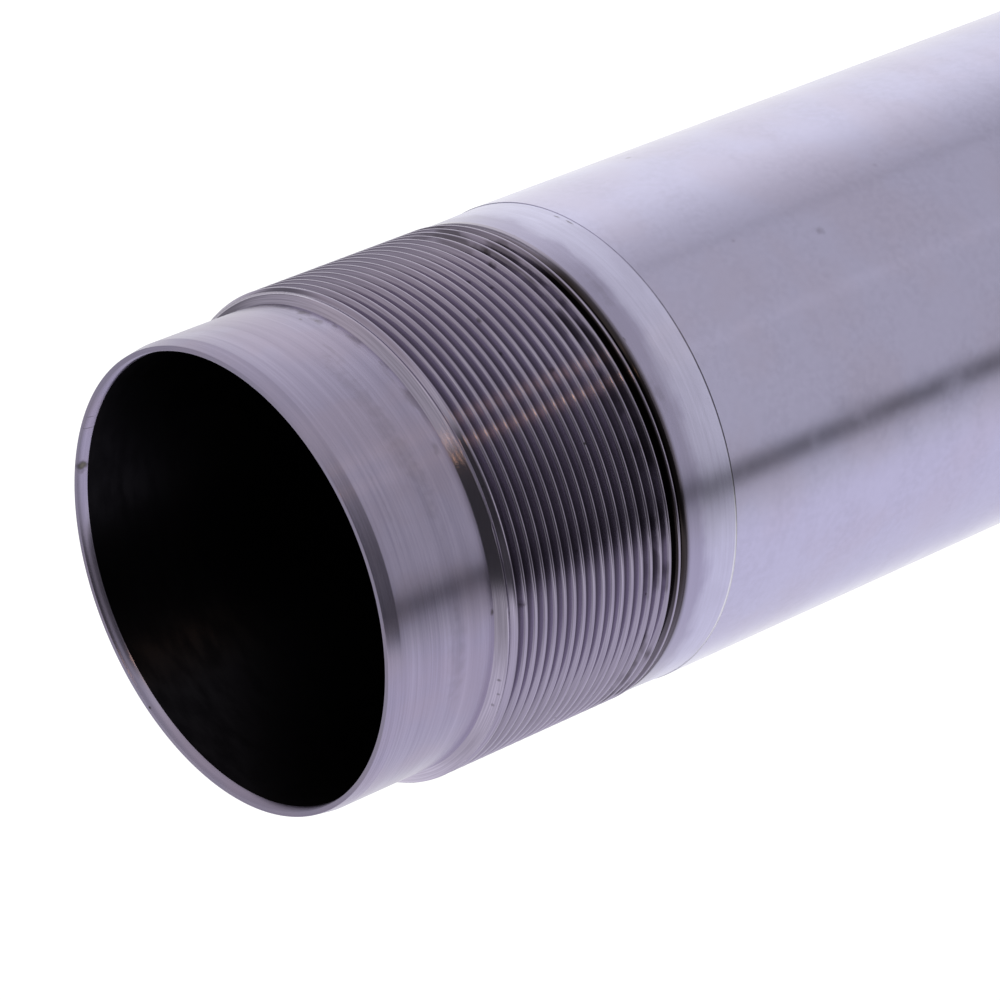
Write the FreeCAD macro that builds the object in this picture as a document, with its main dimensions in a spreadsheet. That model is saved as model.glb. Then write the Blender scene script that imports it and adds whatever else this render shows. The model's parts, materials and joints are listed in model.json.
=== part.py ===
import FreeCAD, Part
import os
import Sketcher

# Inner tube of an upside-down motorcycle fork, turned from one piece of steel tube.
# It stands on its plain end at height 0. The end that screws into the axle clamp is at the top.
# All lengths are in millimetres. Sizes at the threaded end are measured down from its mouth.

SIZES = {
    "tube_length": "520",
    "body_diameter": "41",
    "wall_thickness": "1.8",
    # Threaded end, from the mouth down
    "mouth_outer_taper_length": "1.25",
    "mouth_outer_taper_depth": "0.2",
    "mouth_inner_taper_length": "0.9",
    "mouth_inner_taper_depth": "0.14",
    "spigot_wall": "0.75",
    "spigot_length": "10.45",
    "thread_lead_in": "0.6",
    "thread_length": "18.9",
    "thread_pitch": "1",
    "thread_runout": "0.4",
    "undercut_length": "2.25",
    "shoulder_length": "3.45",
    # How far these surfaces lie below the body's
    "thread_drop": "0.04",
    "undercut_drop": "0.15",
    "shoulder_drop": "0.05",
    # Plain end, from its face up
    "foot_outer_chamfer": "0.8",
    "foot_inner_chamfer": "0.5",
    "foot_land_length": "3.5",
    "bush_groove_width": "15.2",
    "bush_groove_depth": "0.7",
    # How far a cutter reaches past the surface that it starts from
    "cutter_overlap": "0.05",
}

# Radii of the stepped wall, as expressions of the sizes
BODY = "sizes.body_diameter / 2"
BORE = f"{BODY} - sizes.wall_thickness"
SPIGOT = f"{BORE} + sizes.spigot_wall"
THREAD = f"{BODY} - sizes.thread_drop"
UNDERCUT = f"{BODY} - sizes.undercut_drop"

# Heights of the steps, as expressions of the sizes
MOUTH = "sizes.tube_length"
SPIGOT_FOOT = f"{MOUTH} - sizes.spigot_length"
THREAD_FOOT = f"{SPIGOT_FOOT} - sizes.thread_length"
UNDERCUT_FOOT = f"{THREAD_FOOT} - sizes.undercut_length"
SHOULDER_FOOT = f"{UNDERCUT_FOOT} - sizes.shoulder_length"

NODE = "fork_tube"


def size_sheet(doc):
    sheet = doc.addObject("Spreadsheet::Sheet", "sizes")
    for row, (alias, value) in enumerate(SIZES.items(), start=1):
        sheet.set(f"A{row}", alias)
        sheet.set(f"B{row}", value)
        sheet.setAlias(f"B{row}", alias)
    doc.recompute()
    return sheet


def section_sketch(body, name):
    """A sketch on the body's own XZ plane: across is the radius, up is the height."""
    planes = [p for p in body.Origin.OriginFeatures if p.Role == "XZ_Plane"]
    sketch = body.newObject("Sketcher::SketchObject", name)
    sketch.AttachmentSupport = [(planes[0], "")]
    sketch.MapMode = "FlatFace"
    return sketch


def draw_outline(sketch, sheet, corners):
    """Closes straight lines through the corners and ties each one to its radius and height."""
    points = [FreeCAD.Vector(sheet.evalExpression(r), sheet.evalExpression(z), 0) for r, z in corners]
    for start, end in zip(points, points[1:] + points[:1]):
        sketch.addGeometry(Part.LineSegment(start, end), False)
    for line in range(len(points)):
        following = (line + 1) % len(points)
        sketch.addConstraint(Sketcher.Constraint("Coincident", line, 2, following, 1))
    for line, (radius, height) in enumerate(corners):
        across = sketch.addConstraint(Sketcher.Constraint("DistanceX", -1, 1, line, 1, points[line].x))
        sketch.setExpression(f"Constraints[{across}]", radius)
        if height == "0":
            sketch.addConstraint(Sketcher.Constraint("PointOnObject", line, 1, -1))
        else:
            up = sketch.addConstraint(Sketcher.Constraint("DistanceY", -1, 1, line, 1, points[line].y))
            sketch.setExpression(f"Constraints[{up}]", height)


def wall_corners():
    """The tube's wall in half section, from the plain end up the outside and down the bore."""
    return [
        (f"{BORE} + sizes.foot_inner_chamfer", "0"),
        (f"{BODY} - sizes.foot_outer_chamfer", "0"),
        (BODY, "sizes.foot_outer_chamfer"),
        (BODY, SHOULDER_FOOT),
        (f"{BODY} - sizes.shoulder_drop", SHOULDER_FOOT),
        (UNDERCUT, UNDERCUT_FOOT),
        (UNDERCUT, THREAD_FOOT),
        (THREAD, f"{THREAD_FOOT} + sizes.undercut_drop - sizes.thread_drop"),
        (THREAD, f"{SPIGOT_FOOT} - sizes.thread_lead_in"),
        (SPIGOT, SPIGOT_FOOT),
        (SPIGOT, f"{MOUTH} - sizes.mouth_outer_taper_length"),
        (f"{SPIGOT} - sizes.mouth_outer_taper_depth", MOUTH),
        (f"{BORE} + sizes.mouth_inner_taper_depth", MOUTH),
        (BORE, f"{MOUTH} - sizes.mouth_inner_taper_length"),
        (BORE, "sizes.foot_inner_chamfer"),
    ]


def bush_groove_corners():
    """The seat of the slide bush, a shallow groove close to the plain end."""
    floor = f"{BODY} - sizes.bush_groove_depth"
    outside = f"{BODY} + sizes.cutter_overlap"
    low = "sizes.foot_land_length"
    high = "sizes.foot_land_length + sizes.bush_groove_width"
    return [(floor, low), (outside, low), (outside, high), (floor, high)]


def thread_groove_corners():
    """The metric thread's groove: flanks at 60 degrees and a flat root a sixth of the pitch wide."""
    depth = "sizes.thread_pitch * 17 * sqrt(3) / 48"
    root = f"{THREAD} - {depth}"
    outside = f"{THREAD} + sizes.cutter_overlap"
    centre = f"{THREAD_FOOT} - sizes.thread_runout"
    root_half = "sizes.thread_pitch / 12"
    outside_half = f"({root_half} + ({depth} + sizes.cutter_overlap) / sqrt(3))"
    return [
        (root, f"{centre} - {root_half}"),
        (outside, f"{centre} - {outside_half}"),
        (outside, f"{centre} + {outside_half}"),
        (root, f"{centre} + {root_half}"),
    ]


def turn_blank(body, sheet):
    """Turns the whole wall, with its steps, chamfers and tapers."""
    section = section_sketch(body, "wall_section")
    draw_outline(section, sheet, wall_corners())
    blank = body.newObject("PartDesign::Revolution", "turned_wall")
    blank.Profile = section
    blank.ReferenceAxis = (section, ["V_Axis"])
    blank.Angle = 360
    return blank


def cut_bush_groove(body, sheet):
    section = section_sketch(body, "bush_groove_section")
    draw_outline(section, sheet, bush_groove_corners())
    groove = body.newObject("PartDesign::Groove", "bush_groove")
    groove.Profile = section
    groove.ReferenceAxis = (section, ["V_Axis"])
    groove.Angle = 360
    return groove


def cut_thread(body, sheet):
    """Cuts the right-hand thread upwards from its runout, and out over the spigot."""
    section = section_sketch(body, "thread_groove_section")
    draw_outline(section, sheet, thread_groove_corners())
    thread = body.newObject("PartDesign::SubtractiveHelix", "thread")
    thread.Profile = section
    thread.ReferenceAxis = (section, ["V_Axis"])
    thread.Mode = "pitch-height-angle"
    thread.HasBeenEdited = True
    thread.LeftHanded = False
    thread.setExpression("Pitch", "sizes.thread_pitch")
    thread.setExpression("Height", "sizes.thread_length + sizes.thread_runout + sizes.thread_pitch")
    return thread


def check_cut(name, before, after):
    """A cut that points away from the wall removes nothing and shows no error."""
    if not after < before:
        raise RuntimeError(f"{name} cuts nothing: {before:.1f} to {after:.1f} cubic millimetres")


def check_document(doc, body):
    for item in doc.Objects:
        if "Invalid" in item.State or "Error" in item.State:
            raise RuntimeError(f"{item.Name} failed: {item.State}")
    if body.Shape.isNull() or not body.Shape.isValid():
        raise RuntimeError(f"{body.Label} has no valid solid")
    if len(body.Shape.Solids) != 1:
        raise RuntimeError(f"{body.Label} has {len(body.Shape.Solids)} solids")


def main():
    doc = FreeCAD.newDocument("fork_tube")
    sheet = size_sheet(doc)
    body = doc.addObject("PartDesign::Body", "tube_body")
    body.Label = NODE
    body.Placement = FreeCAD.Placement()
    turn_blank(body, sheet)
    doc.recompute()
    blank_volume = body.Shape.Volume
    cut_bush_groove(body, sheet)
    doc.recompute()
    grooved_volume = body.Shape.Volume
    check_cut("bush groove", blank_volume, grooved_volume)
    cut_thread(body, sheet)
    doc.recompute()
    check_cut("thread", grooved_volume, body.Shape.Volume)
    check_document(doc, body)
    os.makedirs("parts", exist_ok=True)
    body.Shape.exportStep(f"parts/{body.Label}.step")
    box = body.Shape.BoundBox
    print(f"{body.Label}: {box.XLength:.2f} x {box.YLength:.2f} x {box.ZLength:.2f} mm, "
          f"{body.Shape.Volume / 1000:.2f} cubic centimetres, {len(body.Shape.Faces)} faces")


main()
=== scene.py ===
import bpy
import json
import math
import numpy as np
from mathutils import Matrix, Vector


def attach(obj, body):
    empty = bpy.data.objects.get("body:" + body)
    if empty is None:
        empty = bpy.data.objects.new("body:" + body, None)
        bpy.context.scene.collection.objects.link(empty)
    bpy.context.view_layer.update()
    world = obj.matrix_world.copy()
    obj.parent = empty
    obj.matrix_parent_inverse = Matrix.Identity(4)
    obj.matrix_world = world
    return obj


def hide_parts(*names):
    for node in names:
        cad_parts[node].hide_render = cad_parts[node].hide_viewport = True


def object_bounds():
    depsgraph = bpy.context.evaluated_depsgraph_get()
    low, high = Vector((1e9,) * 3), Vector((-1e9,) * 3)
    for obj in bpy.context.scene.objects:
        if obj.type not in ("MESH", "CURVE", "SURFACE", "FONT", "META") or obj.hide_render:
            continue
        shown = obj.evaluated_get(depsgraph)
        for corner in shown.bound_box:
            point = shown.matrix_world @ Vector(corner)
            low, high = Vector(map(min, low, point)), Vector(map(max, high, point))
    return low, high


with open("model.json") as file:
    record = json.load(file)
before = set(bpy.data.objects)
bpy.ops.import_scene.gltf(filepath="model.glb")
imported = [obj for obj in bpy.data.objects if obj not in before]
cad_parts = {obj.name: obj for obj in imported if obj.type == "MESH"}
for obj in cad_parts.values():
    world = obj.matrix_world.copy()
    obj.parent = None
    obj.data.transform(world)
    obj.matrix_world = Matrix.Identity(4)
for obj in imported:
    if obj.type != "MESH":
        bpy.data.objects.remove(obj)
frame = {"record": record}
CAD_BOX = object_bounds()

bl_info = {
    "name": "Fork inner tube",
    "version": (1, 0, 0),
    "blender": (4, 5, 0),
    "location": "3D View > Sidebar > Fork tube",
    "description": "Turns a fork's inner tube with its fine thread and finishes it in steel and hard chrome",
    "category": "Add Mesh",
}

MM = 0.001
NODE = "fork_tube"
MOUNTS = {mount["name"]: mount for mount in frame["record"]["mounts"]}
TUBE_TOP = CAD_BOX[1].z
BODY_RADIUS = CAD_BOX[1].x
BORE_RADIUS = MOUNTS["bore"]["dims"]["r_mm"] * MM
SPIGOT_RADIUS = MOUNTS["spigot"]["dims"]["r_mm"] * MM
# How far the thread's crests lie below the body, and how far below the mouth its lead-in ends, in millimetres
THREAD_DROP_MM, LEAD_IN_END_MM = 0.04, 11.05


def linear(text):
    """Turns an sRGB hex colour such as '#CDC9DD' into linear values with an alpha of 1."""
    values = [int(text[i:i + 2], 16) / 255 for i in (1, 3, 5)]
    return tuple(v / 12.92 if v <= 0.04045 else ((v + 0.055) / 1.055) ** 2.4 for v in values) + (1.0,)


def length_setting(name, description, millimetres):
    return bpy.props.FloatProperty(name=name, description=description, default=millimetres * MM, unit="LENGTH")


def colour_setting(name, description, text):
    return bpy.props.FloatVectorProperty(
        name=name, description=description, default=linear(text), size=4, subtype="COLOR")


class TubeSizes(bpy.types.PropertyGroup):
    """The tube's sizes. Lengths at the threaded end run down from its mouth."""

    mouth_taper: length_setting("Mouth taper", "Length of the outer taper at the mouth", 1.25)
    mouth_taper_depth: length_setting("Mouth taper depth", "How far the outer taper closes in at the mouth", 0.2)
    bore_taper: length_setting("Bore taper", "Length of the bore's taper at the mouth", 0.9)
    bore_taper_depth: length_setting("Bore taper depth", "How far the bore's taper opens at the mouth", 0.14)
    spigot: length_setting("Spigot", "Length of the plain spigot before the thread", 10.45)
    thread_lead_in: length_setting("Thread lead-in", "Length of the chamfer that leads on to the thread", 0.6)
    thread: length_setting("Thread", "Length of the threaded band, with its lead-in", 18.9)
    pitch: length_setting("Pitch", "Distance from one crest of the thread to the next", 1)
    runout: length_setting("Runout", "How far below the threaded band its groove starts", 0.4)
    undercut: length_setting("Undercut", "Length of the undercut below the thread", 2.25)
    shoulder: length_setting("Shoulder", "Length of the taper from the undercut out to the body", 3.45)
    thread_drop: length_setting("Thread drop", "How far the crests lie below the body's surface", THREAD_DROP_MM)
    undercut_drop: length_setting("Undercut drop", "How far the undercut lies below the body's surface", 0.15)
    shoulder_drop: length_setting("Shoulder drop", "Height of the fine step where the chrome begins", 0.05)
    shoulder_blend: length_setting("Shoulder blend", "Length over which the undercut rolls into the shoulder", 1.2)
    crest_round: length_setting("Crest rounding", "Radius of the thread's crests", 0.185)
    root_width: length_setting("Root width", "Width of the rounded root between the flanks", 0.12)
    broken_edge: length_setting("Broken edge", "Radius of the turned corners", 0.04)
    foot_outer_chamfer: length_setting("Foot chamfer", "Outer chamfer at the plain end", 0.8)
    foot_inner_chamfer: length_setting("Foot bore chamfer", "Inner chamfer at the plain end", 0.5)
    foot_land: length_setting("Foot land", "Land between the plain end and the bush groove", 3.5)
    bush_groove_width: length_setting("Bush groove width", "Width of the slide bush's groove", 15.2)
    bush_groove_depth: length_setting("Bush groove depth", "Depth of the slide bush's groove", 0.7)
    segments: bpy.props.IntProperty(
        name="Segments", description="Number of faces round the tube", default=360, min=24)


class TubeFinish(bpy.types.PropertyGroup):
    """Colours of the tube's finishes, and of the painted shade in its bore and last grooves."""

    chrome: colour_setting("Hard chrome", "Colour of the ground hard chrome", "#CECBE6")
    steel: colour_setting("Turned steel", "Colour of the freshly turned steel", "#B6AFC7")
    thread: colour_setting("Thread", "Colour of the cut thread's crests and flanks", "#B4ACC0")
    # The bore's near-black colour is painted shade: honed steel that is dark only because little light gets into the
    # tube
    bore: colour_setting("Bore", "Colour of the oiled bore", "#19181B")
    # This dark colour stands for oily residue and also for painted shade deep in the last grooves
    oil_and_shade: colour_setting("Oil residue", "Colour of the dried cutting oil in the last grooves", "#2B2520")
    stain: colour_setting("Stain", "Colour of the dried stains and specks on bare steel", "#706970")


class StageSettings(bpy.types.PropertyGroup):
    """The camera and the light."""

    camera_place: bpy.props.FloatVectorProperty(
        name="Camera place", description="Where the camera stands, from the tube's foot",
        default=(-0.29569, 0.18765, 0.74593), subtype="TRANSLATION", unit="LENGTH")
    camera_turn: bpy.props.FloatVectorProperty(
        name="Camera turn", description="How the camera is turned",
        default=tuple(math.radians(v) for v in (-28.086, 48.4, 112.448)), subtype="EULER", unit="ROTATION")
    lens: bpy.props.FloatProperty(
        name="Lens", description="Focal length on a 36 mm sensor, in millimetres",
        default=193.57, min=1)
    white: bpy.props.FloatProperty(
        name="White", description="Level of the white surroundings", default=1.0, min=0)


def add_node(tree, kind, settings=None, inputs=()):
    """Adds a shader node. Settings are its attributes. Inputs are a list in its sockets' order or a dict by their
    names or numbers, and each is a value, or a socket or node that it is linked from."""
    node = tree.nodes.new(kind)
    for name, value in (settings or {}).items():
        setattr(node, name, value)
    for name, value in inputs.items() if isinstance(inputs, dict) else enumerate(inputs):
        if isinstance(value, bpy.types.Node):
            value = next(output for output in value.outputs if output.enabled)
        if isinstance(value, bpy.types.NodeSocket):
            tree.links.new(value, node.inputs[name])
        else:
            node.inputs[name].default_value = value
    return node


def new_material(name):
    material = bpy.data.materials.new(name)
    material.use_nodes = True
    material.node_tree.nodes.clear()
    return material, material.node_tree


def smooth_step(value, low, high):
    t = np.clip((value - low) / (high - low), 0, 1)
    return t * t * (3 - 2 * t)


# Shape of the wall, as points of its outline with a normal for each

def corner(before, point, after, radius):
    """Points and normals of a corner of the outline, rounded between its two straight sides."""
    point = np.array(point)
    a = (np.array(before) - point) / math.dist(before, point)
    b = (np.array(after) - point) / math.dist(after, point)
    half = math.acos(np.clip(a @ b, -1, 1)) / 2
    back = min(radius / math.tan(half), 0.4 * min(math.dist(before, point), math.dist(after, point)))
    start, end = point + a * back, point + b * back
    middle = (start + end) / 4 + point / 2
    first, last = np.array([a[1], -a[0]]), np.array([-b[1], b[0]])
    return [start, middle, end], [first, (first + last) / np.linalg.norm(first + last), last]


def outline(sizes):
    """The wall's corners as (radius, height), from the undercut down the outside and up the bore to the mouth."""
    top, body = TUBE_TOP, BODY_RADIUS
    thread_foot = top - sizes.spigot - sizes.thread
    undercut_foot = thread_foot - sizes.undercut
    shoulder_foot = undercut_foot - sizes.shoulder
    groove_low, groove_high = sizes.foot_land, sizes.foot_land + sizes.bush_groove_width
    groove = body - sizes.bush_groove_depth
    return [
        (body - sizes.undercut_drop, undercut_foot),
        (body - sizes.shoulder_drop, shoulder_foot),
        (body, shoulder_foot),
        (body, groove_high),
        (groove, groove_high),
        (groove, groove_low),
        (body, groove_low),
        (body, sizes.foot_outer_chamfer),
        (body - sizes.foot_outer_chamfer, 0),
        (BORE_RADIUS + sizes.foot_inner_chamfer, 0),
        (BORE_RADIUS, sizes.foot_inner_chamfer),
        (BORE_RADIUS, top - sizes.bore_taper),
        (BORE_RADIUS + sizes.bore_taper_depth, top),
        (SPIGOT_RADIUS - sizes.mouth_taper_depth, top),
        (SPIGOT_RADIUS, top - sizes.mouth_taper),
    ]


# Material slots, in the order in which the operator fills them
FINISH_CHROME, FINISH_STEEL, FINISH_BORE, FINISH_THREAD, FINISH_SHOULDER = range(5)

# The bore's taper is shaded as the rounded edge that hand deburring leaves: its upward tilt at its foot and its rim
BORE_ROLL_LOW, BORE_ROLL_HIGH = math.radians(25), math.radians(58)
# The unground shoulder bulges a little more than its taper, and its step has a soft edge: a factor, and the most tilt
SHOULDER_ROLL, STEP_ROLL = 2.2, math.radians(3.7)


def plain_rings(sizes):
    """Rings of the plain wall: radius, height, normal across, normal up and finish, in order along the outline."""
    points = outline(sizes)
    start = (BODY_RADIUS - sizes.undercut_drop, TUBE_TOP - sizes.spigot - sizes.thread - sizes.undercut / 4)
    end = (SPIGOT_RADIUS, TUBE_TOP - sizes.spigot)
    rings = []
    whole = [start, *points, end]
    for before, point, after in zip(whole, whole[1:], whole[2:]):
        if point == points[0]:
            turn = math.atan2(sizes.undercut_drop - sizes.shoulder_drop, sizes.shoulder)
            radius = sizes.shoulder_blend / 2 / math.tan(turn / 2)
        else:
            radius = sizes.broken_edge
        places, normals = corner(before, point, after, radius)
        for place, normal in zip(places, normals):
            rings.append((place[0], place[1], normal[0], normal[1]))
    shoulder_foot = points[1][1]
    for k, (radius, height, across, up) in enumerate(rings):
        if across > 0 and shoulder_foot - sizes.broken_edge < height < points[0][1]:
            roll = min(math.atan2(up, across) * SHOULDER_ROLL, STEP_ROLL)
            rings[k] = (radius, height, math.cos(roll), math.sin(roll))
        in_taper = BORE_RADIUS - sizes.broken_edge < radius < SPIGOT_RADIUS - 2 * sizes.mouth_taper_depth
        if in_taper and TUBE_TOP - 1.5 * sizes.bore_taper < height < TUBE_TOP and across < 0:
            roll = BORE_ROLL_LOW + (BORE_ROLL_HIGH - BORE_ROLL_LOW) * smooth_step(
                height, TUBE_TOP - sizes.bore_taper, TUBE_TOP)
            rings[k] = (radius, height, -math.cos(roll), math.sin(roll))
    rings.insert(0, (start[0], start[1], 1.0, 0.0))
    rings.append((end[0], end[1], 1.0, 0.0))
    return rings


def blank_radius(sizes, below):
    """Radius and upward tilt of the unthreaded blank, at a distance below the mouth."""
    thread = BODY_RADIUS - sizes.thread_drop
    undercut = BODY_RADIUS - sizes.undercut_drop
    lead_end = sizes.spigot + sizes.thread_lead_in
    foot = sizes.spigot + sizes.thread
    drop = thread - undercut
    places = [0, sizes.spigot, lead_end, foot - drop, foot, foot + sizes.undercut]
    radii = [SPIGOT_RADIUS, SPIGOT_RADIUS, thread, thread, undercut, undercut]
    radius = np.interp(below, places, radii)
    tilt = np.select(
        [below < sizes.spigot, below < lead_end, below < foot - drop, below < foot],
        [0.0, math.atan2(thread - SPIGOT_RADIUS, sizes.thread_lead_in), 0.0, -math.radians(45)], 0.0)
    return radius, tilt


def groove_stations(sizes):
    """One pitch of the thread: distances from the groove's centre, depths and upward tilts of the surface."""
    half, root, round_off = sizes.pitch / 2, sizes.root_width / 2, sizes.crest_round
    flank = math.radians(60)
    arc = [(half - round_off * math.sin(tilt), round_off * (1 - math.cos(tilt)), tilt)
           for tilt in np.radians([20, 40, 60])]
    depth = arc[-1][1] + (arc[-1][0] - root) * math.tan(flank)
    upper = [(-across, deep, -tilt) for across, deep, tilt in arc]
    return [(-half, 0.0, 0.0)] + upper + [
        (-root, depth, -flank),
        (0.0, depth + root / 4, 0.0),
        (root, depth, flank),
    ] + arc[::-1]


# Depth of the last turn before the spigot, against that of the others
LAST_TURN = 0.42


def threaded_surface(sizes, below, angle, station):
    """Radius and tilt of the threaded blank at a place on it. The station is its row in the groove."""
    radius, tilt = blank_radius(sizes, below)
    stations = groove_stations(sizes)
    thread = BODY_RADIUS - sizes.thread_drop
    start = sizes.spigot + sizes.thread + sizes.runout
    turn = np.round((start - below) / sizes.pitch - angle / math.tau)
    travel = turn + angle / math.tau
    offset = below - (start - travel * sizes.pitch)
    places = np.array([s[0] for s in stations] + [sizes.pitch / 2])
    depths = np.array([s[1] for s in stations] + [0.0])
    depth = np.interp(offset, places, depths)
    to_spigot = (start - sizes.spigot) / sizes.pitch - travel
    # The tool sinks in over 0.08 of a turn, and its last turn before the spigot is shallow
    fade = smooth_step(travel, 0.0, 0.08) * (LAST_TURN + (1 - LAST_TURN) * smooth_step(to_spigot, 1.15, 1.5))
    cut = thread - depth * fade
    inside = (cut < radius) & (turn >= 0)
    groove_tilt = np.arctan(np.tan(stations[station][2]) * fade)
    return np.where(inside, cut, radius), np.where(inside, groove_tilt, tilt)


class MeshLists:
    """Gathers vertices with their normals, and faces with their finish."""

    def __init__(self):
        self.places, self.normals, self.faces, self.finishes = [], [], [], []

    def vertex(self, radius, height, angle, across, up):
        self.places.append((radius * math.cos(angle), radius * math.sin(angle), height))
        self.normals.append((across * math.cos(angle), across * math.sin(angle), up))
        return len(self.places) - 1

    def face(self, corners, finish):
        self.faces.append(corners)
        self.finishes.append(finish)


def add_ring(mesh, sizes, radius, height, across, up):
    return [mesh.vertex(radius, height, math.tau * i / sizes.segments, across, up) for i in range(sizes.segments)]


def join_rings(mesh, upper, lower, finish):
    count = len(upper)
    for i in range(count):
        j = (i + 1) % count
        mesh.face((upper[i], lower[i], lower[j], upper[j]), finish)


def finish_of(lower, upper, sizes):
    """Finish of the wall between two rings of the outline."""
    body_top = TUBE_TOP - sizes.spigot - sizes.thread - sizes.undercut - sizes.shoulder
    across = (lower[0] + upper[0]) / 2
    height = (lower[1] + upper[1]) / 2
    close = 0.01 * MM
    if across < BORE_RADIUS + close and height > sizes.foot_inner_chamfer:
        return FINISH_BORE
    if across > BODY_RADIUS - close and sizes.foot_outer_chamfer < height < body_top:
        return FINISH_CHROME
    if across > BODY_RADIUS - 2 * sizes.undercut_drop and height > body_top - sizes.shoulder_drop:
        return FINISH_SHOULDER
    return FINISH_STEEL


def add_thread(mesh, sizes, top_ring, bottom_ring, top, bottom):
    """Fills the band between two rings with rows that climb with the thread."""
    count, stations = sizes.segments, groove_stations(sizes)
    rows_per_turn = len(stations)
    start = sizes.spigot + sizes.thread + sizes.runout
    turns = int((bottom - top) / sizes.pitch) + 4
    clearance = 0.01 * MM
    angles = math.tau * np.arange(count) / count
    columns = [{} for _ in range(count)]
    for turn in range(-2, turns):
        for k, station in enumerate(stations):
            below = start - (turn + angles / math.tau) * sizes.pitch + station[0]
            radius, tilt = threaded_surface(sizes, below, angles, k)
            for i in np.flatnonzero((below > top + clearance) & (below < bottom - clearance)):
                columns[i][k - turn * rows_per_turn] = mesh.vertex(
                    radius[i], TUBE_TOP - below[i], angles[i], math.cos(tilt[i]), math.sin(tilt[i]))
    # A row moves up as the angle grows, so rows leave at the top and new ones come in at the bottom
    for i in range(count):
        j = (i + 1) % count
        shift = rows_per_turn if j == 0 else 0
        left, right = columns[i], {row + shift: vertex for row, vertex in columns[j].items()}
        first, last = min(left), max(left)
        next_first, next_last = min(right), max(right)
        mesh.face((top_ring[i], left[first], right[next_first], top_ring[j]), FINISH_THREAD)
        for row in range(first, next_first):
            mesh.face((left[row], left[row + 1], right[next_first]), FINISH_THREAD)
        for row in range(next_first, last):
            mesh.face((left[row], left[row + 1], right[row + 1], right[row]), FINISH_THREAD)
        for row in range(last, next_last):
            mesh.face((left[last], right[row + 1], right[row]), FINISH_THREAD)
        mesh.face((left[last], bottom_ring[i], bottom_ring[j], right[next_last]), FINISH_THREAD)


def build_tube(sizes):
    mesh = MeshLists()
    rings = plain_rings(sizes)
    loops = [add_ring(mesh, sizes, *ring) for ring in rings]
    for k in range(len(rings) - 1):
        join_rings(mesh, loops[k], loops[k + 1], finish_of(rings[k], rings[k + 1], sizes))
    lead = math.atan2(BODY_RADIUS - sizes.thread_drop - SPIGOT_RADIUS, sizes.thread_lead_in)
    # The lead-in starts with normals of its own, so its edge on the spigot stays crisp
    top_ring = add_ring(mesh, sizes, SPIGOT_RADIUS, TUBE_TOP - sizes.spigot, math.cos(lead), math.sin(lead))
    add_thread(mesh, sizes, top_ring, loops[0], sizes.spigot, TUBE_TOP - rings[0][1])
    data = bpy.data.meshes.new("fork_tube_turned")
    data.from_pydata(mesh.places, [], mesh.faces)
    data.polygons.foreach_set("material_index", mesh.finishes)
    data.polygons.foreach_set("use_smooth", [True] * len(mesh.faces))
    data.normals_split_custom_set_from_vertices(mesh.normals)
    data.validate()
    return data


# Finishes

SUM, DIFFERENCE, PRODUCT, LARGER = ({"operation": kind} for kind in ("ADD", "SUBTRACT", "MULTIPLY", "MAXIMUM"))
SMOOTH = {"interpolation_type": "SMOOTHSTEP"}
COLOUR = {"data_type": "RGBA"}
# Numbers of the Mix node's sockets for colours: how much of the second one, the first one and the second one
MIX_BY, MIX_FROM, MIX_TO = 0, 6, 7
TANGENT_ROUND = {"direction_type": "RADIAL", "axis": "Z"}
GIRTH = math.tau * SPIGOT_RADIUS / MM


def surface_places(tree):
    """The place on the tube: the point, its distance below the mouth and its distance from the axis in millimetres,
    and its angle in turns, which is 0 where the thread starts."""
    place = add_node(tree, "ShaderNodeTexCoord").outputs["Object"]
    point = add_node(tree, "ShaderNodeVectorMath", {"operation": "SCALE"}, {0: place, "Scale": 1 / MM})
    parts = add_node(tree, "ShaderNodeSeparateXYZ", inputs=[point])
    below = add_node(tree, "ShaderNodeMath", DIFFERENCE, [TUBE_TOP / MM, parts.outputs["Z"]])
    flat = add_node(tree, "ShaderNodeVectorMath", PRODUCT, [point, (1, 1, 0)])
    across = add_node(tree, "ShaderNodeVectorMath", {"operation": "LENGTH"}, [flat])
    far_x = add_node(tree, "ShaderNodeMath", PRODUCT, [parts.outputs["X"], -1.0])
    far_y = add_node(tree, "ShaderNodeMath", PRODUCT, [parts.outputs["Y"], -1.0])
    angle = add_node(tree, "ShaderNodeMath", {"operation": "ARCTAN2"}, [far_y, far_x])
    turns = add_node(tree, "ShaderNodeMath", {"operation": "MULTIPLY_ADD"}, [angle, 1 / math.tau, 0.5])
    return point, below, across, turns


def drawn_round(tree, point, rise, length, width):
    """Noise drawn out round the tube. The length round it and the width of its streaks are in millimetres, and the
    rise is what is measured across the streaks."""
    parts = add_node(tree, "ShaderNodeSeparateXYZ", inputs=[point])
    level = add_node(tree, "ShaderNodeCombineXYZ", inputs=[parts.outputs["X"], parts.outputs["Y"], rise])
    return add_node(tree, "ShaderNodeVectorMath", PRODUCT, [level, (1 / length, 1 / length, 1 / width)])


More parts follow.
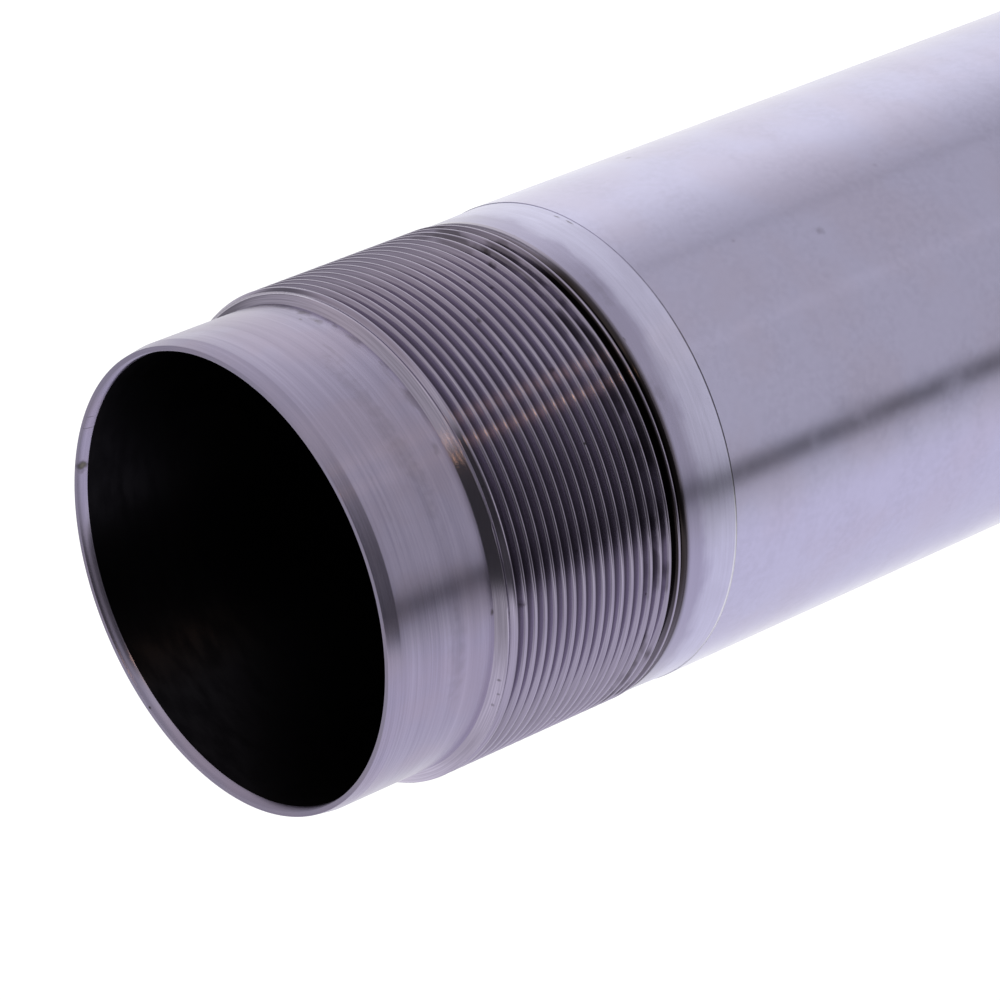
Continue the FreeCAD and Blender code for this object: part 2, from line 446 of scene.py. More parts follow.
def marks(tree, along, turns, places, ragged_by=0.7):
    """Where any of the marks lies. Each is its distance along, its azimuth in degrees, its length along and round the
    tube in millimetres, and its strength from 0 to 1. Their outline is as ragged as asked."""
    here = add_node(tree, "ShaderNodeCombineXYZ", inputs=[along, turns])
    # Grains of 0.8 mm make the outline ragged
    grains = add_node(tree, "ShaderNodeVectorMath", PRODUCT, [here, (1 / 0.8, GIRTH / 0.8, 0)])
    ragged = add_node(tree, "ShaderNodeTexNoise", inputs={"Vector": grains, "Scale": 1.0, "Detail": 3})
    wobble = add_node(tree, "ShaderNodeMapRange", inputs=[ragged, 0.25, 0.75, -ragged_by, ragged_by])
    total = 0.0
    for place, azimuth, length, width, strength in places:
        per_unit = (2 / length, 2 * GIRTH / width, 0)
        middle = (-place * per_unit[0], -azimuth / 360 * per_unit[1], 0)
        apart_by = add_node(tree, "ShaderNodeVectorMath", {"operation": "MULTIPLY_ADD"}, [here, per_unit, middle])
        far = add_node(tree, "ShaderNodeVectorMath", {"operation": "LENGTH"}, [apart_by])
        far = add_node(tree, "ShaderNodeMath", SUM, [far, wobble])
        cover = add_node(tree, "ShaderNodeMapRange", SMOOTH, [far, 0.1, 1.3, strength, 0.0])
        total = add_node(tree, "ShaderNodeMath", LARGER, [total, cover])
    return total


def specks(tree, point, spacing, radius, share):
    """Where small dark specks lie: one in each cell of the spacing, of which only a share is kept. In millimetres."""
    cells = add_node(tree, "ShaderNodeTexVoronoi", inputs={"Vector": point, "Scale": 1 / spacing})
    near = add_node(tree, "ShaderNodeMapRange", SMOOTH, [cells, 0.5 * radius / spacing, radius / spacing, 1.0, 0.0])
    shade = add_node(tree, "ShaderNodeSeparateColor", inputs=[cells.outputs["Color"]])
    kept = add_node(tree, "ShaderNodeMath", {"operation": "LESS_THAN"}, [shade, share])
    return add_node(tree, "ShaderNodeMath", PRODUCT, [near, kept])


# Where the dark band of the last grooves, oily residue with painted shade, starts and ends, and where the residue's
# patches do: the distance below the mouth in millimetres plus the angle in turns, which is the same all along a groove
OIL_AND_SHADE_START, OIL_AND_SHADE_END = (28.05, 28.35), (29.95, 30.55)
PATCHES_START, PATCHES_END = (24.6, 27.2), (29.0, 29.5)
# Where the shoulder's plating begins, in millimetres below the mouth
PLATING_START = (30.9, 32.9)


def oil_and_shade_cover(tree, point, below, turns, depth):
    """Where the grooves are darkened by dried, oily cutting residue and by painted shade: thick in the last two
    grooves, in patches of residue in those before, none on the crests.
    """
    climb = add_node(tree, "ShaderNodeMath", SUM, [below, turns])
    # The last two grooves are painted dark: oily residue and painted shade
    starts = add_node(tree, "ShaderNodeMapRange", SMOOTH, [climb, *OIL_AND_SHADE_START, 0.0, 1.0])
    ends = add_node(tree, "ShaderNodeMapRange", SMOOTH, [climb, *OIL_AND_SHADE_END, 1.0, 0.0])
    last = add_node(tree, "ShaderNodeMath", PRODUCT, [starts, ends])
    # It thins out past 185 degrees one way and below 110 the other way
    for limits in ((0.51, 0.55, 1.0, 0.3), (0.2, 0.31, 0.45, 1.0)):
        thin = add_node(tree, "ShaderNodeMapRange", SMOOTH, [turns, *limits])
        last = add_node(tree, "ShaderNodeMath", PRODUCT, [last, thin])
    # Patches 5 mm long round the tube and 2 mm wide
    patches = drawn_round(tree, point, below, 5, 2)
    patchy = add_node(tree, "ShaderNodeTexNoise", inputs={"Vector": patches, "Scale": 1.0, "Detail": 3})
    spots = add_node(tree, "ShaderNodeMapRange", SMOOTH, [patchy, 0.45, 0.6, 0.0, 1.0])
    for limits in ((*PATCHES_START, 0.0, 0.6), (*PATCHES_END, 1.0, 0.0)):
        part = add_node(tree, "ShaderNodeMapRange", SMOOTH, [climb, *limits])
        spots = add_node(tree, "ShaderNodeMath", PRODUCT, [spots, part])
    cover = add_node(tree, "ShaderNodeMath", LARGER, [last, spots])
    in_groove = add_node(tree, "ShaderNodeMapRange", SMOOTH, [depth, 0.01, 0.07, 0.0, 0.95])
    return add_node(tree, "ShaderNodeMath", PRODUCT, [cover, in_groove])


def chrome_material(finish):
    """Ground hard chrome: a bright, faintly blue skin with a satin blur, cloudy wipe marks and a few smears."""
    material, tree = new_material("hard_chrome_ground")
    point, below, _, turns = surface_places(tree)
    # Clouds 9 mm across, wipe marks of 9 by 3 mm and a grain of 0.6 mm
    clouds = add_node(tree, "ShaderNodeTexNoise", inputs={"Vector": point, "Scale": 1 / 9, "Detail": 5})
    wipes = drawn_round(tree, point, below, 9, 3)
    wiped = add_node(tree, "ShaderNodeTexNoise", inputs={"Vector": wipes, "Scale": 1.0, "Detail": 4})
    grain = add_node(tree, "ShaderNodeTexNoise", inputs={"Vector": point, "Scale": 1 / 0.6, "Detail": 4})
    warm = add_node(tree, "ShaderNodeMapRange", SMOOTH, [clouds, 0.42, 0.62, 0.0, 0.35])
    dull = add_node(tree, "ShaderNodeMapRange", SMOOTH, [grain, 0.3, 0.7, 0.0, 0.16])
    dull_part = add_node(tree, "ShaderNodeMapRange", SMOOTH, [wiped, 0.35, 0.65, 0.3, 1.0])
    dull = add_node(tree, "ShaderNodeMath", PRODUCT, [dull, dull_part])
    loose = specks(tree, point, 9.0, 0.35, 0.3)
    dots = add_node(tree, "ShaderNodeMath", LARGER, [loose, marks(tree, below, turns, DOTS)])
    dots = add_node(tree, "ShaderNodeMath", PRODUCT, [dots, 0.4])
    colour = finish.chrome
    layers = [(warm, linear("#CBC2D6")), (dull, linear("#A9A5BC")), (dots, finish.stain)]
    for cover, tint in layers:
        colour = add_node(tree, "ShaderNodeMix", COLOUR, {MIX_BY: cover, MIX_FROM: colour, MIX_TO: tint})
    smears = marks(tree, below, turns, SMEARS, ragged_by=0.4)
    smeared = add_node(tree, "ShaderNodeMath", PRODUCT, [smears, 0.09])
    rough = add_node(tree, "ShaderNodeMapRange", SMOOTH, [wiped, 0.35, 0.65, 0.15, 0.19])
    rough = add_node(tree, "ShaderNodeMath", SUM, [rough, smeared])
    shader = add_node(tree, "ShaderNodeBsdfPrincipled", inputs={
        "Base Color": colour, "Metallic": 1.0, "Roughness": rough})
    add_node(tree, "ShaderNodeOutputMaterial", inputs=[shader])
    return material


def steel_material(finish):
    """Fine-turned bare steel: its lathe lines run round it and draw each reflection out along the tube."""
    material, tree = new_material("turned_steel_bare")
    point, below, across, turns = surface_places(tree)
    radial = add_node(tree, "ShaderNodeMath", SUM, [below, across])
    # Lathe lines 0.15 mm apart, coarser than the real 0.05 mm so that they show, feed bands of 0.9 mm and patches
    # of 6 mm. On the rim's face the same lines run round it, because they also count outwards.
    fine = drawn_round(tree, point, radial, 14, 0.15)
    lines = add_node(tree, "ShaderNodeTexNoise", inputs={"Vector": fine, "Scale": 1.0, "Detail": 3})
    coarse = drawn_round(tree, point, radial, 22, 0.9)
    bands = add_node(tree, "ShaderNodeTexNoise", inputs={"Vector": coarse, "Scale": 1.0, "Detail": 3})
    patches = add_node(tree, "ShaderNodeTexNoise", inputs={"Vector": point, "Scale": 1 / 6, "Detail": 3})
    worn = add_node(tree, "ShaderNodeMapRange", SMOOTH, [lines, 0.3, 0.7, 0.0, 0.26])
    banded = add_node(tree, "ShaderNodeMapRange", SMOOTH, [bands, 0.35, 0.65, 0.0, 0.24])
    worn = add_node(tree, "ShaderNodeMath", SUM, [worn, banded])
    warm = add_node(tree, "ShaderNodeMapRange", SMOOTH, [patches, 0.4, 0.62, 0.0, 0.3])
    # Dirt along the spigot's foot, from 160 degrees on: blots of 2.5 by 0.8 mm
    blots = drawn_round(tree, point, below, 2.5, 0.8)
    foot = add_node(tree, "ShaderNodeTexNoise", inputs={"Vector": blots, "Scale": 1.0, "Detail": 4})
    foot = add_node(tree, "ShaderNodeMapRange", SMOOTH, [foot, 0.47, 0.65, 0.0, 0.5])
    for limits in (
            (below, 9.3, 10.3, 0.0, 1.0), (turns, 0.44, 0.48, 0.0, 1.0),
            (below, LEAD_IN_END_MM, LEAD_IN_END_MM + 1, 1.0, 0.0)):
        part = add_node(tree, "ShaderNodeMapRange", SMOOTH, limits)
        foot = add_node(tree, "ShaderNodeMath", PRODUCT, [foot, part])
    dirt = add_node(tree, "ShaderNodeMath", LARGER, [marks(tree, below, turns, STAINS), foot])
    loose = specks(tree, point, 2.6, 0.16, 0.12)
    loose = add_node(tree, "ShaderNodeMath", PRODUCT, [loose, 0.8])
    dirt = add_node(tree, "ShaderNodeMath", LARGER, [dirt, loose])
    layers = [(worn, linear("#8E88A0")), (warm, linear("#B9ABBC")), (dirt, finish.stain)]
    # The rim's marks, painted shade of a pit, two scratches and a nick, are placed by the way inwards over its face
    # and down the bore's taper
    inwards = add_node(tree, "ShaderNodeMath", DIFFERENCE, [below, across])
    inwards = add_node(tree, "ShaderNodeMath", SUM, [inwards, RIM_OUTER])
    on_rim = add_node(tree, "ShaderNodeMapRange", SMOOTH, [across, RIM_OUTER, RIM_OUTER + 0.02, 1.0, 0.0])
    for places, tint in ((RIM_DENT_SHADE, "#3C3A34"), (RIM_PIT_MIDDLE_SHADE, "#77746C")):
        dent_shade = add_node(tree, "ShaderNodeMath", PRODUCT, [marks(tree, inwards, turns, places, 0.4), on_rim])
        layers.append((dent_shade, linear(tint)))
    colour = finish.steel
    for cover, tint in layers:
        colour = add_node(tree, "ShaderNodeMix", COLOUR, {MIX_BY: cover, MIX_FROM: colour, MIX_TO: tint})
    rough = add_node(tree, "ShaderNodeMapRange", SMOOTH, [patches, 0.35, 0.65, 0.23, 0.27])
    bump = add_node(tree, "ShaderNodeBump", inputs={"Strength": 0.2, "Distance": 0.02 * MM, "Height": lines})
    tangent = add_node(tree, "ShaderNodeTangent", TANGENT_ROUND)
    shader = add_node(tree, "ShaderNodeBsdfPrincipled", inputs={
        "Base Color": colour, "Metallic": 1.0, "Roughness": rough, "Anisotropic": 0.75, "Anisotropic Rotation": 0.25,
        "Tangent": tangent, "Normal": bump})
    add_node(tree, "ShaderNodeOutputMaterial", inputs=[shader])
    return material


def thread_material(finish):
    """Cut thread, left oily: grey flanks with a fine tool grain, darker towards the root as painted shade with oily
    dirt, and brown residue in the last grooves, darkened there with painted shade as well."""
    material, tree = new_material("cut_thread_oily")
    point, below, across, turns = surface_places(tree)
    depth = add_node(tree, "ShaderNodeMath", DIFFERENCE, [BODY_RADIUS / MM - THREAD_DROP_MM, across])
    radial = add_node(tree, "ShaderNodeMath", SUM, [below, across])
    # Tool lines 0.12 mm apart and 6 mm long, coarser than the real 0.03 mm so that they show
    fine = drawn_round(tree, point, radial, 6, 0.12)
    grain = add_node(tree, "ShaderNodeTexNoise", inputs={"Vector": fine, "Scale": 1.0, "Detail": 2})
    lead_in = add_node(tree, "ShaderNodeMapRange", SMOOTH, [
        below, LEAD_IN_END_MM - 0.05, LEAD_IN_END_MM + 0.1, 1.0, 0.0])
    in_thread = add_node(tree, "ShaderNodeMath", DIFFERENCE, [1.0, lead_in])
    # Painted shade, with oily dirt: the flanks darken towards the root
    deep = add_node(tree, "ShaderNodeMapRange", SMOOTH, [depth, 0.15, 0.55, 0.0, 0.7])
    deep = add_node(tree, "ShaderNodeMath", PRODUCT, [deep, in_thread])
    worn = add_node(tree, "ShaderNodeMapRange", SMOOTH, [grain, 0.3, 0.75, 0.0, 0.4])
    oil_and_shade = oil_and_shade_cover(tree, point, below, turns, depth)
    loose = specks(tree, point, 1.9, 0.17, 0.14)
    dirt = add_node(tree, "ShaderNodeMath", LARGER, [marks(tree, below, turns, THREAD_SPECKS), loose])
    dirt = add_node(tree, "ShaderNodeMath", PRODUCT, [dirt, 0.8])
    colour = finish.thread
    layers = [(lead_in, linear("#CDC5D8")), (worn, linear("#7C7487")), (deep, linear("#7F7986")), (oil_and_shade, finish.oil_and_shade),
              (dirt, linear("#3A3534"))]
    for cover, tint in layers:
        colour = add_node(tree, "ShaderNodeMix", COLOUR, {MIX_BY: cover, MIX_FROM: colour, MIX_TO: tint})
    rough = add_node(tree, "ShaderNodeMapRange", SMOOTH, [grain, 0.3, 0.7, 0.1, 0.15])
    bump = add_node(tree, "ShaderNodeBump", inputs={"Strength": 0.15, "Distance": 0.02 * MM, "Height": grain})
    tangent = add_node(tree, "ShaderNodeTangent", TANGENT_ROUND)
    shader = add_node(tree, "ShaderNodeBsdfPrincipled", inputs={
        "Base Color": colour, "Metallic": 1.0, "Roughness": rough, "Anisotropic": 0.5, "Anisotropic Rotation": 0.25,
        "Tangent": tangent, "Normal": bump})
    add_node(tree, "ShaderNodeOutputMaterial", inputs=[shader])
    return material


def shoulder_material(finish):
    """Where the chrome runs out: bare turned steel in the undercut that turns softly to unground, satin chrome."""
    material, tree = new_material("chrome_runout_satin")
    point, below, across, turns = surface_places(tree)
    # Turned lines 0.25 mm apart, coarser than the real 0.05 mm so that they show, and an edge of the plating that
    # wavers by 0.5 mm over 4 mm
    fine = drawn_round(tree, point, below, 18, 0.25)
    lines = add_node(tree, "ShaderNodeTexNoise", inputs={"Vector": fine, "Scale": 1.0, "Detail": 3})
    blots = drawn_round(tree, point, below, 4, 2)
    uneven = add_node(tree, "ShaderNodeTexNoise", inputs={"Vector": blots, "Scale": 1.0, "Detail": 3})
    waver = add_node(tree, "ShaderNodeMapRange", SMOOTH, [uneven, 0.3, 0.7, -0.5, 0.5])
    edge = add_node(tree, "ShaderNodeMath", SUM, [below, waver])
    plated = add_node(tree, "ShaderNodeMapRange", SMOOTH, [edge, *PLATING_START, 0.0, 1.0])
    worn = add_node(tree, "ShaderNodeMapRange", SMOOTH, [lines, 0.3, 0.75, 0.0, 0.13])
    cloudy = add_node(tree, "ShaderNodeMapRange", SMOOTH, [uneven, 0.4, 0.65, 0.0, 0.14])
    depth = add_node(tree, "ShaderNodeMath", DIFFERENCE, [BODY_RADIUS / MM - THREAD_DROP_MM, across])
    # Oily residue and painted shade where the last groove runs into the undercut
    oil_and_shade = oil_and_shade_cover(tree, point, below, turns, depth)
    loose = specks(tree, point, 3.2, 0.18, 0.2)
    dirt = add_node(tree, "ShaderNodeMath", LARGER, [marks(tree, below, turns, SHOULDER_SPECKS), loose])
    layers = [(plated, linear("#D5D3EC")), (worn, linear("#8F8A9C")), (cloudy, linear("#A8A2B8")), (oil_and_shade, finish.oil_and_shade),
              (dirt, finish.stain)]
    # The step has painted shade on one side and a painted highlight on the other
    for places, tint in ((STEP_SHADE, "#5A5560"), (STEP_HIGHLIGHT, "#FFFFFF")):
        layers.append((marks(tree, below, turns, places, 0.15), linear(tint)))
    colour = linear("#B3AEC8")
    for cover, tint in layers:
        colour = add_node(tree, "ShaderNodeMix", COLOUR, {MIX_BY: cover, MIX_FROM: colour, MIX_TO: tint})
    tangent = add_node(tree, "ShaderNodeTangent", TANGENT_ROUND)
    shader = add_node(tree, "ShaderNodeBsdfPrincipled", inputs={
        "Base Color": colour, "Metallic": 1.0, "Roughness": 0.23, "Anisotropic": 0.4, "Anisotropic Rotation": 0.25,
        "Tangent": tangent})
    add_node(tree, "ShaderNodeOutputMaterial", inputs=[shader])
    return material


def bore_material(finish):
    """Honed bore, coloured near black as painted shade for the dark inside of the tube: it swallows nearly all light
    that enters the tube.
    """
    material, tree = new_material("honed_bore_painted_shade")
    point, below = surface_places(tree)[:2]
    # Honing marks 3 mm long and 1.2 mm wide, coarser than the real 0.1 mm so that they show
    strokes = drawn_round(tree, point, below, 3, 1.2)
    honing = add_node(tree, "ShaderNodeTexNoise", inputs={"Vector": strokes, "Scale": 1.0, "Detail": 4})
    # The painted shade is a touch darker along the honing marks
    darker_strokes = add_node(tree, "ShaderNodeMapRange", SMOOTH, [honing, 0.3, 0.7, 0.0, 1.0])
    colour = add_node(tree, "ShaderNodeMix", COLOUR, {MIX_BY: darker_strokes, MIX_FROM: finish.bore, MIX_TO: linear("#131215")})
    rough = add_node(tree, "ShaderNodeMapRange", SMOOTH, [honing, 0.35, 0.65, 0.28, 0.36])
    shader = add_node(tree, "ShaderNodeBsdfPrincipled", inputs={
        "Base Color": colour, "Metallic": 1.0, "Roughness": rough})
    add_node(tree, "ShaderNodeOutputMaterial", inputs=[shader])
    return material


# Azimuths of the pit in the rim's face and of the nick in its inner edge, in degrees
RIM_PIT, RIM_NICK = 283.6, 348.8
# Outer radius of the rim's face, in millimetres
RIM_OUTER = 19.25

# Marks of use and handling, and painted shade and highlights at the rim and the shoulder's step, each as (below the
# mouth, azimuth in degrees, length along, length round, strength)
STAINS = [
    (9.9, 209, 0.8, 2.6, 0.6), (9.6, 203, 0.6, 1.4, 0.6), (8.9, 206, 0.35, 0.5, 0.7), (10.1, 198, 0.4, 0.9, 0.5),
    (6.6, 176, 1.6, 9.0, 0.17), (6.9, 158, 1.4, 12.0, 0.2), (6.3, 166, 1.2, 9.0, 0.14), (6.8, 110, 1.6, 8.0, 0.15),
    (9.6, 158, 0.5, 1.3, 0.35), (10.3, 117.8, 0.35, 0.7, 0.95), (3.1, 150, 0.3, 6.0, 0.15), (7.7, 190, 0.5, 3.0, 0.15),
]
# These are painted shade of the pit, the scratches and the nick, lighter in the pit's middle, and are placed by the
# way in from the rim's outer edge, over its face and down the bore's taper
RIM_DENT_SHADE = [(0.84, RIM_PIT, 1.3, 1.3, 1.0), (0.72, 271.8, 1.3, 0.12, 0.7), (0.72, 267.8, 1.3, 0.1, 0.6),
             (0.45, RIM_NICK, 0.3, 0.4, 1.0)]
RIM_PIT_MIDDLE_SHADE = [(0.86, RIM_PIT, 0.8, 0.8, 1.0)]
THREAD_SPECKS = [
    (22.1, 194.6, 0.35, 0.6, 1.0), (23.0, 190.1, 0.3, 0.5, 1.0), (19.2, 172.1, 0.3, 0.4, 1.0),
    (22.5, 163.6, 0.3, 0.5, 1.0), (12.6, 117.6, 0.5, 0.7, 1.0), (19.6, 181.1, 0.25, 0.5, 0.8),
    (25.4, 196.0, 0.3, 0.9, 0.9), (26.4, 201.0, 0.35, 1.2, 0.9), (28.5, 111.5, 0.25, 1.0, 0.9),
    (10.8, 100.0, 0.25, 0.35, 0.9), (10.9, 96.0, 0.2, 0.3, 0.8), (10.8, 92.5, 0.2, 0.35, 0.7),
]
SHOULDER_SPECKS = [
    (34.6, 203.6, 0.25, 1.0, 0.8), (34.7, 199.6, 0.2, 1.2, 0.7), (29.9, 164.1, 0.4, 0.5, 0.7),
    (30.4, 150.0, 0.8, 2.5, 0.2), (31.0, 178.0, 0.9, 4.0, 0.15),
]
# Painted shade along the step on one side, and a painted highlight along it on the other
STEP_SHADE = [(35.04, 140, 0.2, 34.0, 1.0)]
STEP_HIGHLIGHT = [(35.0, 92, 0.3, 26.0, 0.9)]
DOTS = [(52.9, 170.6, 0.9, 0.8, 0.8), (62.6, 181.1, 0.5, 0.5, 0.5), (45.0, 176.0, 0.5, 0.4, 0.5)]
SMEARS = [
    (51.0, 148.6, 1.2, 3.4, 0.8), (47.6, 132.1, 2.4, 2.2, 0.9), (49.2, 129.0, 1.6, 3.0, 0.7),
    (53.7, 120.6, 2.4, 3.6, 0.9), (60.0, 123.6, 2.4, 4.2, 0.9), (48.3, 105.1, 3.4, 3.0, 0.6),
    (63.0, 144.0, 1.2, 7.0, 0.6), (41.5, 139.0, 2.2, 4.6, 0.4), (44.0, 126.0, 1.4, 4.0, 0.5),
    (56.5, 131.0, 1.6, 3.2, 0.6), (39.5, 150.0, 3.4, 5.0, 0.35),
]


class FORKTUBE_OT_turn_tube(bpy.types.Operator):
    """Turns the tube with its thread and gives it its finishes"""

    bl_idname = "forktube.turn_tube"
    bl_label = "Turn the tube"

    def execute(self, context):
        sizes, finish = context.scene.fork_tube_sizes, context.scene.fork_tube_finish
        data = build_tube(sizes)
        for make in (chrome_material, steel_material, bore_material, thread_material, shoulder_material):
            data.materials.append(make(finish))
        tube = bpy.data.objects.new("fork_tube_turned", data)
        context.scene.collection.objects.link(tube)
        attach(tube, "root")
        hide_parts(NODE)
        return {"FINISHED"}


# Stage

# The tent is a floor just over the real one, a wall and a dome round the mouth, in metres
TENT_RADIUS, TENT_FLOOR = 0.45, 0.004
TENT_FLOOR_HOLE, TENT_FLOOR_STEP, TENT_WALL_STEP = 0.03, 0.015, 0.02
TENT_STEP = math.radians(1.5)

WARM = np.array((1, 0.74, 0.5))
# The cards hung in the tent, one over the other: what each is, its colour, its azimuths and its elevations as from,
# to and the widths of its two soft edges in degrees, and how much it hides of what hangs behind it
CARDS = [
    ("cool wall to the right", (0.78, 0.765, 0.835), (58, 150, 28, 40), (-90, 60, 1, 10), 1),
    ("warm grey wall to the left", (0.57, 0.54, 0.545), (-165, -45, 40, 40), (-28, 60, 8, 20), 1),
    ("grey floor in front", 0.54, (-85, 62, 50, 28), (-90, -10, 1, 8), 1),
    ("dark strip along the floor", 0.14, (37, 47, 9, 9), (-90, -10, 1, 8), 1),
    ("dim room round the camera", 0.30, (-34, 52, 50, 16), (-28, 60, 5, 20), 1),
    ("dark corner beside it", 0.08, (-5, 50, 40, 12), (-28, 70, 5, 20), 1),
    ("camera and its stand", 0.05, (-22, 25, 16, 10), (22, 72, 12, 8), 1),
    ("grey wall behind, seen in the rim", 0.38, (-180, -128, 1, 24), (2, 44, 16, 16), 1),
    ("dark gap at the left", 0.22, (-160, -112, 20, 20), (-8, 14, 8, 8), 1),
    ("pale skirting at the left", 0.74, (-181, -85, 1, 60), (-28, -8, 4, 8), 1),
    ("pale strip seen in the grooves", 0.74, (-125, -55, 20, 30), (-28, -21, 3, 4), 1),
    ("upper wall behind, right half", 0.50, (128, 190, 40, 1), (20, 60, 20, 20), 1),
    ("upper wall behind, left half", 0.50, (-190, -128, 1, 40), (20, 60, 20, 20), 1),
    ("ceiling", 0.44, (-360, 360, 1, 1), (50, 91, 20, 1), 1),
]
HOOD = ("hood over the camera, round", 0.04, (50, 79), (-1, 17.5, 0.1, 6), 1)
LOW_CARDS = [
    ("white skirting seen in the shoulder", 0.88, (-90, 34, 30, 12), (-34.5, -29, 2.5, 2.5), 1),
    ("its brightest part", 0.98, (-8, 26, 16, 10), (-34.5, -29, 2.5, 2.5), 1),
    ("floor close to the tube", 0.34, (-360, 360, 1, 1), (-91, -52, 1, 6), 1),
    ("fine dark line, drawn out along the chrome", 0.40, (-63, -59, 3, 3), (-50, -37, 4, 2), 0.6),
    ("fine pale line, drawn out along the chrome", 0.70, (-19, -16, 3, 3), (-50, -37, 4, 2), 0.5),
    ("warm light low on the flanks", 1.3 * WARM, (-29, -25, 3, 3), (-27, -22, 3, 3), 1),
    ("warm light on the flanks", 1.6 * WARM, (-29, -25, 3, 3), (6, 20, 3, 3), 1),
    ("warm light low round the lamp", 1.0 * WARM, (-18, -14, 3, 3), (-27, -22, 3, 3), 1),
    ("warm light round the lamp", 0.9 * WARM, (-18, -14, 3, 3), (6, 20, 3, 3), 1),
]
# A grey card is faintly violet, as the photograph's greys are
GREY = np.array((1, 0.985, 1.02))


def facing_azimuth(stage):
    return math.atan2(stage.camera_place[1], stage.camera_place[0])


def band(value, low, high, soft_low, soft_high):
    """1 between low and high, falling softly to 0 outside."""
    return smooth_step(value, low - soft_low / 2, low + soft_low / 2) * (
        1 - smooth_step(value, high - soft_high / 2, high + soft_high / 2))


def apart(azimuth, elevation, card_azimuth, card_elevation):
    """Angle in degrees between a direction and the middle of a card."""
    east, north = np.radians(azimuth), np.radians(elevation)
    card_east, card_north = math.radians(card_azimuth), math.radians(card_elevation)
    return np.degrees(np.arccos(np.clip(
        np.sin(north) * math.sin(card_north)
        + np.cos(north) * math.cos(card_north) * np.cos(east - card_east), -1, 1)))


def tent_tone(azimuth, elevation):
    """Colour of the cloth tent and its cards, in a direction from the mouth, in degrees.

    The azimuth is counted from the camera's side, and is positive to the right of it."""
    tone = np.ones((len(azimuth), 3))
    for card in (*CARDS, HOOD, *LOW_CARDS):
        _, paint, azimuths, elevations, hides = card
        if card is HOOD:
            cover = band(apart(azimuth, elevation, *azimuths), *elevations)
        else:
            cover = band(azimuth, *azimuths) * band(elevation, *elevations)
        cover = hides * cover[:, None]
        tone = tone * (1 - cover) + (paint * GREY if isinstance(paint, float) else np.array(paint)) * cover
    return tone


def add_tent(stage):
    """A cloth tent with grey cards on it, which only reflections show."""
    facing = facing_azimuth(stage)
    around = int(math.tau / TENT_STEP)
    azimuths = np.arange(around) * TENT_STEP
    profile = [(reach, TENT_FLOOR) for reach in np.arange(TENT_FLOOR_HOLE, TENT_RADIUS, TENT_FLOOR_STEP)]
    profile += [(TENT_RADIUS, height) for height in np.arange(TENT_FLOOR, TUBE_TOP, TENT_WALL_STEP)]
    profile += [(TENT_RADIUS * math.cos(rise), TUBE_TOP + TENT_RADIUS * math.sin(rise))
                for rise in np.arange(0, math.pi / 2 - TENT_STEP / 2, TENT_STEP)]
    places, azimuth_list, elevation_list = [], [], []
    for reach, height in profile:
        for azimuth in azimuths:
            places.append((reach * math.cos(azimuth), reach * math.sin(azimuth), height))
            azimuth_list.append(azimuth)
            elevation_list.append(math.atan2(height - TUBE_TOP, reach))
    rows = len(profile)
    faces = []
    for row in range(rows - 1):
        for i in range(around):
            j = (i + 1) % around
            faces.append((row * around + i, row * around + j, (row + 1) * around + j, (row + 1) * around + i))
    faces.append([(rows - 1) * around + i for i in range(around)])
    data = bpy.data.meshes.new("cloth_tent")
    data.from_pydata(places, [], faces)
    from_camera = (np.degrees(facing - np.array(azimuth_list)) + 180) % 360 - 180
    tone = tent_tone(from_camera, np.degrees(elevation_list))
    colours = data.color_attributes.new("tone", "FLOAT_COLOR", "POINT")
    colours.data.foreach_set("color", np.column_stack([tone, np.ones(len(tone))]).ravel())
    material, tree = new_material("tent_cloth_and_cards")
    read = add_node(tree, "ShaderNodeVertexColor", {"layer_name": "tone"})
    glow = add_node(tree, "ShaderNodeEmission", inputs={"Color": read, "Strength": stage.white})
    add_node(tree, "ShaderNodeOutputMaterial", inputs=[glow])
    data.materials.append(material)
    add_for_mirrors("cloth_tent", data)


def add_for_mirrors(name, data):
    """Adds a mesh of the stage that only reflections show."""
    item = bpy.data.objects.new(name, data)
    bpy.context.scene.collection.objects.link(item)
    for kind in ("camera", "diffuse", "shadow", "transmission", "volume_scatter"):
        setattr(item, f"visible_{kind}", False)


# Warm lamps on the tent: azimuth and elevation of the middle, and half the width and half the height, in degrees
WARM_LAMPS = [(-16, 13, 0.8, 7), (-66, 78.5, 0.9, 0.9), (-48, 81.5, 0.9, 0.9)]
WARM_LEVEL, WARM_REACH = 5.0, 0.97 * TENT_RADIUS


def add_warm_lamps(stage):
    """Small warm lamps, which the thread's crests and the foot of its lead-in show as glints."""
    facing = facing_azimuth(stage)
    steps = np.linspace(-1, 1, 5)
    places, faces = [], []
    for azimuth, elevation, half_width, half_height in WARM_LAMPS:
        first = len(places)
        for up in steps:
            rise = math.radians(elevation + half_height * up)
            for side in steps:
                turn = facing - math.radians(azimuth + half_width * side / math.cos(rise))
                reach = WARM_REACH * math.cos(rise)
                places.append((
                    reach * math.cos(turn), reach * math.sin(turn), TUBE_TOP + WARM_REACH * math.sin(rise)))
        for row in range(len(steps) - 1):
            for column in range(len(steps) - 1):
                low = first + row * len(steps) + column
                high = low + len(steps)
                faces.append((low, low + 1, high + 1, high))
    data = bpy.data.meshes.new("warm_lamps")
    data.from_pydata(places, [], faces)
    material, tree = new_material("warm_lamp_glow")
    glow = add_node(tree, "ShaderNodeEmission", inputs={"Color": linear("#FFCD9C"), "Strength": WARM_LEVEL})
    add_node(tree, "ShaderNodeOutputMaterial", inputs=[glow])
    data.materials.append(material)
    add_for_mirrors("warm_lamps", data)


def seen_or_mirrored(tree):
    """1 for rays that come straight from the camera, or by way of a mirror or glass."""
    path = add_node(tree, "ShaderNodeLightPath")
    first = add_node(tree, "ShaderNodeMath", LARGER, [path.outputs["Is Camera Ray"], path.outputs["Is Glossy Ray"]])
    return add_node(tree, "ShaderNodeMath", LARGER, [first, path.outputs["Is Transmission Ray"]])


FLOOR_REACH, FLOOR_GLOW = 12.0, 0.35


